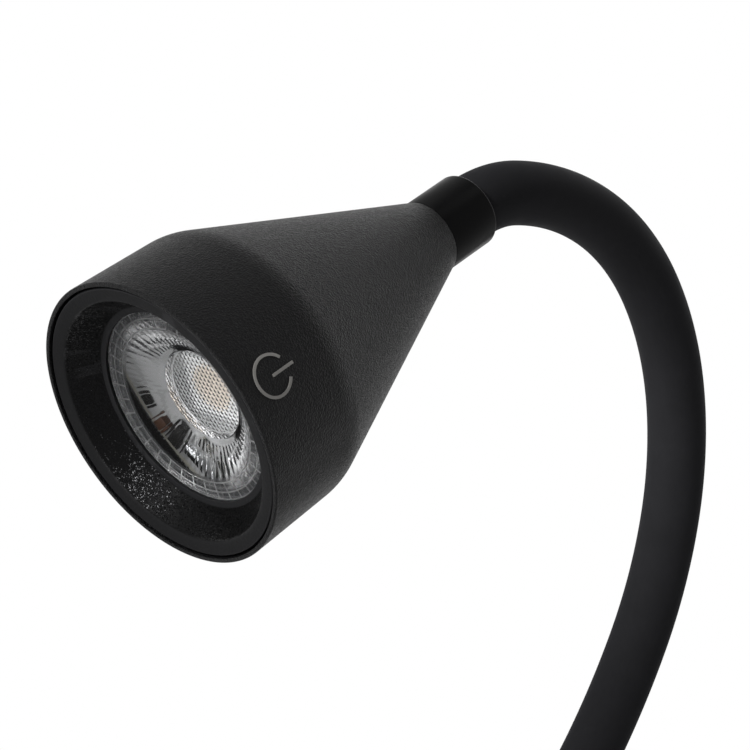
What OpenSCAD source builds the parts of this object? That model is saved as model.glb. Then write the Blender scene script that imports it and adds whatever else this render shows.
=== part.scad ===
// Gooseneck desk lamp: weighted round base, bendable sleeved arm, cone-shaped head with one lens.
// Millimetres. Origin at the centre of the underside of the base, +Z up.
// The arm stands in the XZ plane and the head reaches toward -X. The power inlet is at +X.

/* [Base] */
// Radius of the base at the desk
base_r = 65; // [62:0.5:72]
// Height of the upright side of the base cover
base_side_h = 17; // [16.5:0.5:20]
// Rise of the cover from its side to the arm
base_rise = 13; // [12.5:0.5:18]
// Wall of the base cover
base_wall = 2.2; // [1.8:0.1:2.4]
// Thickness of the ballast disc
ballast_h = 12; // [8:0.5:12]
// Thickness of the soft pad under the base
pad_h = 2; // [1.8:0.1:2.6]

/* [Arm] */
// Radius of the soft sleeve
sleeve_r = 6.3; // [6.1:0.1:6.6]
// Radius of the wound steel core
core_r = 4.5; // [4.3:0.1:4.6]
// Radius of the passage along the core
core_bore_r = 2.5; // [2.2:0.1:2.6]
// Radius of the lead inside the arm
lead_r = 1.6; // [1.3:0.1:1.8]
// Length of one arm stretch between two joints
stretch_len = 28; // [26:0.5:32]
// Turn of stretches 0 to 3 toward the head, degrees
turns_a = [0, -4, -9, -14]; // [-14:0.1:27]
// Turn of stretches 4 to 7 toward the head, degrees
turns_b = [-12, -4, 12.3, 19.1]; // [-14:0.1:27]
// Turn of stretches 8 to 11 toward the head, degrees
turns_c = [21.2, 22.1, 24.7, 22.5]; // [-14:0.1:27]
// Turn of the half stretch at the head, degrees
turn_d = 26.2; // [20:0.1:27]

/* [Head] */
// Outer radius of the rim
rim_r = 27.8; // [27.5:0.1:29]
// Radius where the drum meets the cone
drum_back_r = 27.15; // [26.8:0.05:27.4]
// Length of the drum
drum_len = 20.9; // [20.5:0.1:24]
// Length of the cone
cone_len = 51.2; // [50.5:0.1:56]
// Outer radius of both arm collars
collar_r = 7.4; // [7.1:0.1:7.6]
// Length of both arm collars
collar_len = 12; // [11:0.5:14]
// Wall of the head shell
head_wall = 2; // [1.6:0.1:2.1]
// Outer radius of the lens
lens_r = 19; // [18.6:0.1:19.2]
// Depth of the lens face behind the rim
lens_depth = 6.7; // [6.2:0.1:7.2]
// Cooling fins behind the light
fin_count = 7; // [5:1:8]

/* [Touch switch] */
// Radius of the power mark
mark_r = 3.7; // [3.2:0.1:4.2]
// Line width of the power mark
mark_w = 0.54; // [0.4:0.02:0.9]
// Place of the mark round the drum, 0 is the top, degrees
mark_turn = -63; // [-90:1:-40]
// Distance from the rim to the centre of the mark
mark_back = 7.2; // [6.8:0.1:10]

/* [Power inlet] */
// Radius of the plug hole
plug_hole_r = 2.85; // [2.8:0.05:3]
// Radius of the centre pin
pin_r = 1.05; // [0.9:0.05:1.25]

/* [Hidden] */
$fn = 96;
fit = 0.05;                 // gap between a part and the hole that takes it
face_gap = 0.1;             // gap between the ends of two sleeve stretches
cut = 1;                    // how far a cutting shape runs past the face it cuts

// fittings shared by both ends of the arm, measured from the collar mouth into the fitting
collar_bore_r = sleeve_r + fit;
collar_edge_r = min(0.8, collar_r - collar_bore_r - fit);
sleeve_in = 3.5;            // length of sleeve inside the collar
cup_gap = 0.3;              // gap between the end of the sleeve and the ferrule
cup_from = sleeve_in + cup_gap;
cup_to = 8;
core_in = 7.5;              // length of core inside the collar
stem_r = 5;                 // M10 thread
stem_edge = 0.5;
stem_past_nut = 3.5;
stem_bore_r = core_bore_r + 0.1;
grip = 9;                   // thickness that the stem clamps beyond the collar
washer_r = 7.8;
washer_h = 1;
stem_nut_af = 13;
stem_nut_h = 4.5;
grip_to = collar_len + grip;
washer_to = grip_to + washer_h;
stem_to = washer_to + stem_nut_h + stem_past_nut;

// base, measured from the desk
cover_z = 1.2;              // gap under the rigid edge of the base
plate_gap = 0.2;            // gap round the bottom plate
plate_h = 2.2;              // thickness of the bottom plate over the pad
plate_r = base_r - base_wall - plate_gap;
plate_top = pad_h + plate_h;
pad_inset = 3;
pad_r = plate_r - pad_inset;
pad_fit = 0.3;
side_lean = 0.7;            // how far the upright side leans in
side_top_r = base_r - side_lean;
base_top = base_side_h + base_rise;
foot_mouth = base_top + collar_len;
cover_slope = base_rise / (side_top_r - collar_r);
cover_drop = base_wall / cos(atan(cover_slope));
roof = base_side_h - cover_drop;
cover_soft_r = 5;
foot_boss_r = 10.5;
ballast_room = 15;          // from the ballast to the side of the base, for the screws and the inlet
ballast_r = base_r - ballast_room;
ballast_hole_r = 12;
slot_half = 4;
slot_under = 2.3;           // ballast left under the slot of the lead
slot_floor = plate_top + slot_under;

// screws: hole circle, thread radius, head radius
cover_screw_inset = 9.5;
cover_screw_c = base_r - cover_screw_inset;
cover_screw_r = 1.25;
cover_head_r = 2.8;
cover_head_h = 1.5;
cover_screw_len = 11;
cover_boss_r = 3.4;
ballast_screw_c = 32;
ballast_screw_r = 2;
ballast_head_r = 3.8;
ballast_head_h = 1.8;
ballast_screw_len = 9;
tip_gap = 0.5;              // room past the tip of a screw
boss_lap = 0.3;             // how far a boss runs into the wall that carries it

// power inlet, measured along +X
jack_flange_r = 5;
jack_flange_h = 1.5;
jack_soft = 0.4;
jack_thread_r = 3.95;
jack_nut_h = 2.2;
jack_nut_af = 9.5;
jack_nut_gap = 0.25;
jack_z = plate_top + jack_nut_af / 2 + jack_nut_gap;
jack_sink = 0.8;            // how far the flange is let into the side
jack_face = base_r - jack_sink;
jack_thread_len = 11.2;
jack_back = jack_face - jack_thread_len;
jack_floor_h = 3;
jack_floor = jack_back + jack_floor_h;
jack_boss = 2.8;            // how far the boss stands in from the wall
jack_boss_half = 7;
jack_boss_gap = 0.2;
jack_seat = base_r - base_wall - jack_boss;
jack_roof = roof + (side_top_r - jack_seat) * cover_slope;
pin_root = 0.45;            // how much thicker the root of the pin is
pin_root_r = pin_r + pin_root;
pin_past = 0.5;
pin_tip = jack_face + pin_past;
tab_len = 5;
tab_w = 1.6;
tab_h = 0.4;
tab_y = 1.6;
notch_room = 10;            // room in the ballast behind the tabs
jack_notch_x = jack_back - tab_len - notch_room;
jack_notch_half = 9;

// leads
wire_r = 0.7;
wire_y = 1;
wire_straight = 0.8;
lead_bend = 4;
lead_gap = 0.9;             // from the floor of the slot to the lead
lead_base_z = slot_floor + lead_gap + lead_r;
lead_base_x = 9;
lead_past = 3;
lead_head_z = stem_to + lead_past;
lead_lap = 0.2;
bead_grow = 1.04;

// arm
arm_turns = concat(turns_a, turns_b, turns_c, [turn_d]);
last = len(arm_turns) - 1;
ball_step = 0.2;            // how much smaller the ball is than the core
ball_r = core_r - ball_step;
socket_r = ball_r + fit;
joint_gap = 2;
sleeve_bore_r = core_r + fit;
end_step = 0.02;            // how much the straight ends are eased to enter their fittings
end_lap = 0.3;              // how far a straight end runs into its stretch

// head, measured from the collar mouth toward the rim
head_len = collar_len + cone_len + drum_len;
cone_end = collar_len + cone_len;
cone_grow = (drum_back_r - collar_r) / cone_len;
wall_side = head_wall / cos(atan(cone_grow));
drum_soft_r = 14;
rim_lip = 0.9;              // width of the thin rim
rim_step = 1.7;             // width of the seat inside it
rim_deep = 3;               // depth of that seat
mouth_r = rim_r - rim_lip;
bore_r = min(mouth_r - rim_step, drum_back_r - head_wall);
ledge = head_len - rim_deep;
edge_r = 0.25;

// light: heat sink, board and lens
sink_back = 5.2;
sink_seat = cone_end - sink_back;
sink_gap = 1.2;
sink_room_r = collar_r + (sink_seat - collar_len) * cone_grow - wall_side;
sink_r = min(sink_room_r, bore_r) - sink_gap;
sink_h = 2.4;
sink_screw_inset = 3.5;
sink_screw_c = sink_r - sink_screw_inset;
sink_screw_r = 1.25;
sink_head_r = 2.6;
sink_head_h = 1.9;
sink_screw_len = 6;
sink_turn = 45;
sink_boss_r = 3;
sink_boss_h = 9.5;
fin_inset = 7.3;
fin_r = sink_r - fin_inset;
fin_h = 11;
fin_w = 1.4;
fin_pitch = 4;
board_z = sink_seat + sink_h;
board_inset = 1.2;
board_r = sink_r - board_inset;
board_h = 1.6;
board_top = board_z + board_h;
board_screw_inset = 4.1;
board_screw_c = board_r - board_screw_inset;
board_screw_r = 1.2;
board_head_r = 2.2;
board_head_h = 1.3;
board_screw_len = 3.4;
board_turn = 5;
notch_r = 3.3;
wire_inset = 4.4;
wire_c = board_r - wire_inset;
wire_turn = 72;
wire_hole_r = 2.2;
wire_bend_gap = 1;          // from the fins to the bend of the wires
chip = 12;
chip_h = 1;
glow_r = 4.6;
glow_h = 0.2;
lens_face = head_len - lens_depth;
flange_h = 2.2;
lens_neck = lens_face - flange_h;
lens_gap = 2.5;
lens_back = board_top + lens_gap;
lens_back_r = 8.5;          // foot of the lens, over the light source
lens_foot_r = 9;
lens_foot = 3.5;
lens_step = 1.8;
lens_neck_r = lens_r - lens_step;
lens_hollow_r = 7.9;
lens_hollow = 0.7;
lens_dome = 0.3;
leg_r = 1.3;
leg_inset = 2;
leg_c = lens_neck_r - leg_inset;
leg_turn = 90;
leg_lap = 0.5;

// small parts on the board: turn, distance in from its edge, width, length and height
small_parts = [
  [114, 2.4, 1.6, 2.2, 1.8], [126, 2.6, 2.6, 2.2, 2.6], [135, 3.6, 4.4, 2.4, 2],
  [152, 6, 1.2, 2, 0.8], [198, 7.6, 1.2, 2, 0.8], [232, 6, 2.4, 3.4, 1.2],
  [248, 3.4, 1.2, 2, 0.8], [262, 6.6, 2, 3.2, 1.1], [306, 5, 2, 3.2, 1.1],
  [345, 7.6, 1.2, 2, 0.8], [25, 7, 1.2, 2, 0.8]
];
can_turn = 146;
can_inset = 3.6;
can_r = 1.3;
can_len = 2.2;

// trim ring and touch switch
lip_w = 0.35;
lip_r = lens_r - lip_w;
lip_h = 0.6;
lip_flat = 1.5;             // width of the flat seat round the lens
trim_sink = 0.3;
trim_face = head_len - trim_sink;
trim_gap = 0.4;
trim_r = mouth_r - trim_gap;
trim_flat = 2.7;
trim_flat_r = trim_r - trim_flat;
trim_dip = 0.4;
trim_soft = 0.3;
trim_wall = 1.35;
skirt = 2.6;
touch_turn = 28;
touch_h = 0.3;
touch_w = 8.5;
touch_gap = 0.4;
touch_z = ledge - skirt - touch_gap - touch_w;
touch_wire_r = 0.5;
touch_wire_inset = 1.2;
mark_h = 0.12;
mark_gap = 31;
mark_line = 5;
mark_room = 1;

// ---- helpers ----

// lean of the arm from upright, toward the head, where stretch i starts
function lean(i) = i == 0 ? 0 : lean(i - 1) + arm_turns[i - 1];

// length of stretch i: the first and the last are half as long
function run(i) = i == 0 || i == last ? stretch_len / 2 : stretch_len;

// x and z of the point at distance s along a stretch with this turn and length
function along(turn, run, s) =
  let (a = turn * s / run)
  abs(a) < 0.01 ? [0, s]
  : let (r = s / (a * PI / 180)) [-r * (1 - cos(a)), r * sin(a)];

// place where stretch i starts
function start(i) =
  i == 0 ? [0, foot_mouth]
  : let (p = start(i - 1), d = along(arm_turns[i - 1], run(i - 1), run(i - 1)), a = lean(i - 1))
    [p[0] + d[0] * cos(a) - d[1] * sin(a), p[1] + d[0] * sin(a) + d[1] * cos(a)];

// a corner b between points a and c, rounded by radius r in n steps
function soft(a, b, c, r, n = 6) =
  let (u = (a - b) / norm(a - b), v = (c - b) / norm(c - b), half = acos(u * v) / 2)
  let (m = b + (u + v) / norm(u + v) * r / sin(half))
  let (p = b + u * r / tan(half) - m, q = b + v * r / tan(half) - m)
  let (a0 = atan2(p[1], p[0]), d0 = atan2(q[1], q[0]) - a0)
  let (d = d0 > 180 ? d0 - 360 : d0 < -180 ? d0 + 360 : d0)
  [for (i = [0:n]) m + r * [cos(a0 + d * i / n), sin(a0 + d * i / n)]];

// shapes drawn where stretch i starts, with +Z along the arm
module at_stretch(i) {
  p = start(i);
  translate([p[0], 0, p[1]])
    rotate([0, -lean(i), 0])
      children();
}

// shapes drawn at distance s along a stretch
module past(turn, run, s) {
  p = along(turn, run, s);
  translate([p[0], 0, p[1]])
    rotate([0, -turn * s / run, 0])
      children();
}

// a flat outline swept along a stretch from distance a to distance b
module bent(turn, run, a, b) {
  if (abs(turn) < 0.05)
    translate([0, 0, a])
      linear_extrude(b - a)
        children();
  else {
    r = run * 180 / PI / abs(turn);
    step = abs(turn) / run;
    rotate([0, 0, turn > 0 ? 0 : 180])
      translate([-r, 0, 0])
        rotate([90, 0, 0])
          rotate([0, 0, a * step])
            rotate_extrude(angle = (b - a) * step)
              translate([r, 0])
                children();
  }
}

module ring(r_out, r_in) {
  difference() {
    circle(r_out);
    circle(r_in);
  }
}

module tube(r_out, r_in, z0, z1) {
  translate([0, 0, z0])
    linear_extrude(z1 - z0)
      ring(r_out, r_in);
}

module rod(r, a, b) {
  d = b - a;
  translate(a)
    rotate([0, acos(d[2] / norm(d)), atan2(d[1], d[0])])
      cylinder(r = r, h = norm(d));
}

module spots(count, c, turn = 0) {
  for (i = [0:count - 1])
    rotate([0, 0, turn + i * 360 / count])
      translate([c, 0, 0])
        children();
}

module hex_nut(af, hole_r, h) {
  linear_extrude(h)
    difference() {
      circle(r = af / 2 / cos(30), $fn = 6);
      circle(hole_r);
    }
}

// a screw that points up, its head flush with z = 0
module sunk_screw(r, head_r, head_h, length) {
  cylinder(r1 = head_r, r2 = r, h = head_h);
  translate([0, 0, head_h])
    cylinder(r = r, h = length - head_h);
}

module sunk_hole(r, head_r, head_h, length) {
  sunk_screw(r + fit, head_r + fit, head_h, length);
}

// a screw that points down, its head standing on z = 0
module pan_screw(r, head_r, head_h, length) {
  difference() {
    cylinder(r = head_r, h = head_h);
    translate([0, 0, head_h * 0.5])
      linear_extrude(head_h)
        square([head_r * 1.2, head_r * 0.3], center = true);
    translate([0, 0, head_h * 0.5])
      linear_extrude(head_h)
        square([head_r * 0.3, head_r * 1.2], center = true);
  }
  translate([0, 0, -length])
    cylinder(r = r, h = length);
}

// ---- fittings used at both ends of the arm ----

module collar() {
  a = [collar_bore_r, 0];
  b = [collar_r, 0];
  c = [collar_r, collar_len];
  rotate_extrude()
    polygon(concat(
      [a],
      soft(a, b, c, collar_edge_r),
      [c, [stem_r + fit, collar_len], [stem_r + fit, cup_to], [collar_bore_r, cup_to]]));
}

module ferrule() {
  rotate_extrude()
    polygon([
      [core_r + fit, cup_from],
      [sleeve_r, cup_from],
      [sleeve_r, cup_to],
      [stem_r, cup_to],
      [stem_r, stem_to - stem_edge],
      [stem_r - stem_edge, stem_to],
      [stem_bore_r, stem_to],
      [stem_bore_r, core_in],
      [core_r + fit, core_in]
    ]);
}

module stem_washer() {
  tube(washer_r, stem_r + fit, grip_to, washer_to);
}

module stem_nut() {
  translate([0, 0, washer_to])
    hex_nut(stem_nut_af, stem_r + fit, stem_nut_h);
}

// the foot fittings hang down from the mouth of the foot collar
module at_foot() {
  translate([0, 0, foot_mouth])
    rotate([180, 0, 0])
      children();
}

// the head is drawn with +Z toward its rim and +X toward its top
module at_head() {
  at_stretch(last + 1)
    children();
}

// ---- base ----

module base_pad() {
  color([0.1, 0.1, 0.1])
    cylinder(r = pad_r, h = pad_h);
}

module base_plate() {
  color([0.16, 0.16, 0.17])
    difference() {
      translate([0, 0, cover_z])
        cylinder(r = plate_r, h = plate_top - cover_z);
      translate([0, 0, cover_z - cut])
        cylinder(r = pad_r + pad_fit, h = pad_h - cover_z + cut);
      translate([0, 0, pad_h]) {
        spots(4, cover_screw_c, 45)
          sunk_hole(cover_screw_r, cover_head_r, cover_head_h, cover_screw_len);
        spots(3, ballast_screw_c, 60)
          sunk_hole(ballast_screw_r, ballast_head_r, ballast_head_h, ballast_screw_len);
      }
    }
}

module cover_outline() {
  edge = [base_r, cover_z];
  side = [side_top_r, base_side_h];
  peak = [collar_r, base_top];
  inner = base_r - base_wall;
  foot = [inner, cover_z];
  corner = [inner, roof + (side_top_r - inner) * cover_slope];
  boss = [foot_boss_r, roof + (side_top_r - foot_boss_r) * cover_slope];
  polygon(concat(
    [foot, edge],
    soft(edge, side, peak, cover_soft_r),
    [peak, [stem_r + fit, base_top], [stem_r + fit, base_top - grip],
     [foot_boss_r, base_top - grip], boss],
    soft(boss, corner, foot, cover_soft_r - base_wall)));
}

module base_cover() {
  boss_roof = roof + (side_top_r - cover_screw_c + cover_boss_r) * cover_slope;
  color([0.06, 0.06, 0.065])
    difference() {
      union() {
        rotate_extrude()
          cover_outline();
        spots(4, cover_screw_c, 45)
          translate([0, 0, plate_top])
            cylinder(r = cover_boss_r, h = boss_roof + boss_lap - plate_top);
        translate([jack_seat, -jack_boss_half, plate_top + jack_boss_gap])
          cube([jack_boss + fit, 2 * jack_boss_half, jack_roof + boss_lap - jack_boss_gap - plate_top]);
      }
      spots(4, cover_screw_c, 45)
        translate([0, 0, pad_h])
          cylinder(r = cover_screw_r + fit, h = cover_screw_len + tip_gap);
      translate([jack_seat - cut, 0, jack_z])
        rotate([0, 90, 0])
          cylinder(r = jack_thread_r + fit, h = base_r - jack_seat + 2 * cut);
      translate([jack_face, 0, jack_z])
        rotate([0, 90, 0])
          cylinder(r = jack_flange_r + fit, h = 2 * cut);
    }
}

module base_screws() {
  color([0.55, 0.56, 0.58])
    translate([0, 0, pad_h])
      spots(4, cover_screw_c, 45)
        sunk_screw(cover_screw_r, cover_head_r, cover_head_h, cover_screw_len);
}

module ballast() {
  color([0.3, 0.3, 0.31])
    difference() {
      translate([0, 0, plate_top])
        cylinder(r = ballast_r, h = ballast_h);
      translate([0, 0, plate_top - cut])
        cylinder(r = ballast_hole_r, h = ballast_h + 2 * cut);
      translate([0, -slot_half, slot_floor])
        cube([ballast_r + cut, 2 * slot_half, ballast_h + plate_top]);
      translate([jack_notch_x, -jack_notch_half, plate_top - cut])
        cube([ballast_r, 2 * jack_notch_half, ballast_h + 2 * cut]);
      translate([0, 0, pad_h])
        spots(3, ballast_screw_c, 60)
          cylinder(r = ballast_screw_r + fit, h = ballast_screw_len + tip_gap);
    }
}

module ballast_screws() {
  color([0.55, 0.56, 0.58])
    translate([0, 0, pad_h])
      spots(3, ballast_screw_c, 60)
        sunk_screw(ballast_screw_r, ballast_head_r, ballast_head_h, ballast_screw_len);
}

module foot_collar() {
  color([0.05, 0.05, 0.055])
    at_foot() collar();
}

module foot_ferrule() {
  color([0.72, 0.7, 0.66])
    at_foot() ferrule();
}

module foot_washer() {
  color([0.7, 0.71, 0.73])
    at_foot() stem_washer();
}

module foot_nut() {
  color([0.72, 0.7, 0.66])
    at_foot() stem_nut();
}

// ---- power inlet ----

module along_x(x, z) {
  translate([x, 0, z])
    rotate([0, 90, 0])
      children();
}

module power_jack() {
  color([0.08, 0.08, 0.085])
    along_x(0, jack_z)
      rotate_extrude()
        polygon([
          [pin_root_r + fit, jack_back],
          [jack_thread_r, jack_back],
          [jack_thread_r, jack_face],
          [jack_flange_r, jack_face],
          [jack_flange_r, jack_face + jack_flange_h - jack_soft],
          [jack_flange_r - jack_soft, jack_face + jack_flange_h],
          [plug_hole_r + jack_soft, jack_face + jack_flange_h],
          [plug_hole_r, jack_face + jack_flange_h - jack_soft],
          [plug_hole_r, jack_floor],
          [pin_root_r + fit, jack_floor]
        ]);
}

module jack_pin() {
  color([0.78, 0.76, 0.7])
    along_x(0, jack_z)
      rotate_extrude()
        polygon([
          [0, jack_back],
          [pin_root_r, jack_back],
          [pin_root_r, jack_floor],
          [pin_r, jack_floor],
          [pin_r, pin_tip - jack_soft],
          [pin_r - jack_soft, pin_tip],
          [0, pin_tip]
        ]);
}

module jack_nut() {
  color([0.7, 0.71, 0.73])
    along_x(jack_seat - jack_nut_h, jack_z)
      rotate([0, 0, 30])
        hex_nut(jack_nut_af, jack_thread_r + fit, jack_nut_h);
}

module jack_tabs() {
  color([0.78, 0.76, 0.7])
    for (side = [-1, 1])
      translate([jack_back - tab_len, side * tab_y - tab_w / 2, jack_z - tab_h / 2])
        cube([tab_len, tab_w, tab_h]);
}

module base_wires() {
  color([0.78, 0.78, 0.75])
    for (side = [-1, 1])
      rod(wire_r, [lead_base_x, side * wire_y, lead_base_z],
        [jack_back - tab_len, side * tab_y, jack_z]);
}

// ---- arm ----

// straight end of the core or the sleeve, inside a fitting
module eased_tube(r_out, r_in, z0, z1) {
  tube(r_out - end_step, r_in + end_step, z0, z1);
}

// end of a core stretch: a hollow ball that turns in the socket of the next stretch
module core_ball() {
  difference() {
    intersection() {
      sphere(ball_r);
      translate([0, 0, -joint_gap])
        cylinder(r = ball_r + cut, h = joint_gap + ball_r + cut);
    }
    translate([0, 0, -joint_gap - cut])
      cylinder(r = core_bore_r, h = joint_gap + ball_r + 2 * cut);
  }
}

module arm_core(i) {
  turn = arm_turns[i];
  color([0.5, 0.5, 0.52])
    at_stretch(i) {
      difference() {
        union() {
          bent(turn, run(i), i == 0 ? 0 : joint_gap, i == last ? run(i) : run(i) - joint_gap)
            ring(core_r, core_bore_r);
          if (i == 0)
            eased_tube(core_r, core_bore_r, -core_in, end_lap);
          if (i == last)
            past(turn, run(i), run(i))
              eased_tube(core_r, core_bore_r, -end_lap, core_in);
        }
        if (i > 0)
          sphere(socket_r);
      }
      if (i < last)
        past(turn, run(i), run(i))
          core_ball();
    }
}

module arm_sleeve(i) {
  turn = arm_turns[i];
  half = face_gap / 2;
  color([0.035, 0.035, 0.037])
    at_stretch(i) {
      bent(turn, run(i), i == 0 ? 0 : half, i == last ? run(i) : run(i) - half)
        ring(sleeve_r, sleeve_bore_r);
      if (i == 0)
        eased_tube(sleeve_r, sleeve_bore_r, -sleeve_in, end_lap);
      if (i == last)
        past(turn, run(i), run(i))
          eased_tube(sleeve_r, sleeve_bore_r, -end_lap, sleeve_in);
    }
}

// one lead through the whole arm, from the hollow of the base to the hollow of the head;
// its pieces stop short of each other inside the beads that join them
module arm_lead() {
  lap = lead_lap;
  lap_turn = lap / lead_bend * 180 / PI;
  top = lead_base_z + lead_bend;
  color([0.12, 0.12, 0.13]) {
    rod(lead_r, [lead_base_x, 0, lead_base_z], [lead_bend + lap, 0, lead_base_z]);
    translate([lead_bend, 0, lead_base_z])
      lead_bead();
    translate([lead_bend, 0, top])
      rotate([90, 0, 0])
        rotate([0, 0, 180 + lap_turn])
          rotate_extrude(angle = 90 - 2 * lap_turn)
            translate([lead_bend, 0])
              circle(lead_r);
    translate([0, 0, top])
      lead_bead();
    rod(lead_r, [0, 0, top + lap], [0, 0, foot_mouth - lap]);
    for (i = [0:last])
      at_stretch(i) {
        lead_bead();
        bent(arm_turns[i], run(i), lap, run(i) - lap)
          circle(lead_r);
      }
    at_head() {
      lead_bead();
      rod(lead_r, [0, 0, lap], [0, 0, lead_head_z]);
    }
  }
}

module lead_bead() {
  sphere(lead_r * bead_grow);
}

// ---- head ----

module head_collar() {
  color([0.05, 0.05, 0.055])
    at_head() collar();
}

module head_ferrule() {
  color([0.72, 0.7, 0.66])
    at_head() ferrule();
}

module head_washer() {
  color([0.7, 0.71, 0.73])
    at_head() stem_washer();
}

module head_nut() {
  color([0.72, 0.7, 0.66])
    at_head() stem_nut();
}

module shell_outline() {
  tail = [collar_r, collar_len];
  bend = [drum_back_r, cone_end];
  rim = [rim_r, head_len];
  mouth = [mouth_r, head_len];
  hollow_r = collar_r + grip * cone_grow - wall_side;
  polygon(concat(
    [[stem_r + fit, collar_len], tail],
    soft(tail, bend, rim, drum_soft_r),
    soft(bend, rim, mouth, edge_r, 3),
    [mouth, [mouth_r, ledge], [bore_r, ledge],
     [bore_r, collar_len + (bore_r + wall_side - collar_r) / cone_grow],
     [hollow_r, grip_to],
     [stem_r + fit, grip_to]]));
}

module head_shell() {
  color([0.06, 0.06, 0.065])
    at_head()
      difference() {
        union() {
          rotate_extrude()
            shell_outline();
          spots(3, sink_screw_c, sink_turn)
            translate([0, 0, sink_seat - sink_boss_h])
              cylinder(r = sink_boss_r, h = sink_boss_h);
        }
        spots(3, sink_screw_c, sink_turn)
          translate([0, 0, sink_seat - sink_screw_len])
            cylinder(r = sink_screw_r + fit, h = sink_screw_len + cut);
      }
}

module heat_sink() {
  color([0.74, 0.75, 0.76])
    at_head()
      difference() {
        union() {
          translate([0, 0, sink_seat])
            cylinder(r = sink_r, h = sink_h);
          intersection() {
            translate([0, 0, sink_seat - fin_h])
              cylinder(r = fin_r, h = fin_h + sink_h);
            for (i = [0:fin_count - 1])
              translate([(i - (fin_count - 1) / 2) * fin_pitch, 0, sink_seat - fin_h / 2])
                cube([fin_w, 2 * fin_r, fin_h + 2 * cut], center = true);
          }
        }
        translate([0, 0, sink_seat - cut]) {
          spots(3, sink_screw_c, sink_turn)
            cylinder(r = sink_screw_r + fit, h = sink_h + 2 * cut);
          rotate([0, 0, wire_turn])
            translate([wire_c, 0, 0])
              cylinder(r = wire_hole_r, h = sink_h + 2 * cut);
        }
        translate([0, 0, board_z - board_screw_len])
          spots(2, board_screw_c, board_turn)
            cylinder(r = board_screw_r + fit, h = board_screw_len + cut);
      }
}

module sink_screws() {
  color([0.6, 0.61, 0.63])
    at_head()
      translate([0, 0, board_z])
        spots(3, sink_screw_c, sink_turn)
          pan_screw(sink_screw_r, sink_head_r, sink_head_h, sink_screw_len + sink_h - tip_gap);
}

module led_board() {
  color([0.86, 0.87, 0.86])
    at_head()
      difference() {
        translate([0, 0, board_z])
          cylinder(r = board_r, h = board_h);
        translate([0, 0, board_z - cut]) {
          spots(3, sink_screw_c, sink_turn)
            cylinder(r = notch_r, h = board_h + 2 * cut);
          spots(2, board_screw_c, board_turn)
            cylinder(r = board_screw_r + fit, h = board_h + 2 * cut);
          rotate([0, 0, wire_turn])
            translate([wire_c, 0, 0])
              cylinder(r = wire_hole_r, h = board_h + 2 * cut);
        }
      }
}

module led_chip() {
  color([0.9, 0.82, 0.45])
    at_head()
      translate([0, 0, board_top]) {
        translate([-chip / 2, -chip / 2, 0])
          cube([chip, chip, chip_h]);
        cylinder(r = glow_r, h = chip_h + glow_h);
      }
}

// small parts of the driver and touch circuit round the edge of the board
module board_parts() {
  color([0.12, 0.1, 0.09])
    at_head()
      translate([0, 0, board_top]) {
        for (p = small_parts)
          rotate([0, 0, p[0]])
            translate([board_r - p[1] - p[2] / 2, -p[3] / 2, 0])
              cube([p[2], p[3], p[4]]);
        rotate([0, 0, can_turn])
          translate([board_r - can_inset, can_len / 2, can_r])
            rotate([90, 0, 0])
              cylinder(r = can_r, h = can_len);
      }
}

module board_screws() {
  color([0.6, 0.61, 0.63])
    at_head()
      translate([0, 0, board_top])
        spots(2, board_screw_c, board_turn)
          pan_screw(board_screw_r, board_head_r, board_head_h, board_screw_len);
}

module lens() {
  wall_back = lens_back + lens_foot;
  rise = lens_neck - wall_back;
  flare = lens_neck_r - lens_foot_r;
  color([0.85, 0.87, 0.88, 0.5])
    at_head()
      union() {
        rotate_extrude()
          polygon(concat(
            [[lens_hollow_r, lens_back], [lens_back_r, lens_back]],
            [for (i = [0:6]) [lens_foot_r + flare * i / 6, wall_back + rise * pow(i / 6, 1.5)]],
            [[lens_r, lens_neck], [lens_r, lens_face],
             [0, lens_face], [0, lens_back + lens_hollow],
             [lens_hollow_r, lens_back + lens_hollow - lens_dome]]));
        spots(3, leg_c, leg_turn)
          translate([0, 0, board_top])
            cylinder(r = leg_r, h = lens_neck - board_top + leg_lap);
      }
}

module trim_ring() {
  seat_r = lens_r + fit;
  out_r = seat_r + trim_wall;
  lip_to = lip_r + lip_flat;
  slope = (trim_face - trim_dip - lens_face - lip_h) / (trim_flat_r - lip_to);
  under = lens_face + lip_h - trim_wall / cos(atan(slope)) + (out_r - lip_to) * slope;
  skirt_in = bore_r - fit - trim_wall;
  color([0.09, 0.09, 0.095])
    at_head()
      rotate_extrude()
        polygon([
          [seat_r, lens_neck],
          [out_r, lens_neck],
          [out_r, under],
          [skirt_in, under + (skirt_in - out_r) * slope],
          [skirt_in, ledge - skirt],
          [bore_r - fit, ledge - skirt],
          [bore_r - fit, ledge],
          [trim_r, ledge],
          [trim_r, trim_face - trim_soft],
          [trim_r - trim_soft, trim_face],
          [trim_flat_r, trim_face - trim_dip],
          [lip_to, lens_face + lip_h],
          [lip_r, lens_face + lip_h],
          [lip_r, lens_face],
          [seat_r, lens_face]
        ]);
}

module touch_pad() {
  color([0.72, 0.45, 0.28])
    at_head()
      rotate([0, 0, mark_turn - touch_turn / 2])
        translate([0, 0, touch_z])
          rotate_extrude(angle = touch_turn)
            translate([bore_r - fit - touch_h, 0])
              square([touch_h, touch_w]);
}

module touch_wire() {
  top_r = bore_r - fit - touch_h - touch_wire_r - touch_gap / 2;
  color([0.75, 0.75, 0.72])
    at_head()
      rotate([0, 0, mark_turn])
        rod(touch_wire_r, [board_r - touch_wire_inset, 0, board_top + touch_wire_r],
          [top_r, 0, touch_z + 3 * touch_wire_r]);
}

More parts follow.
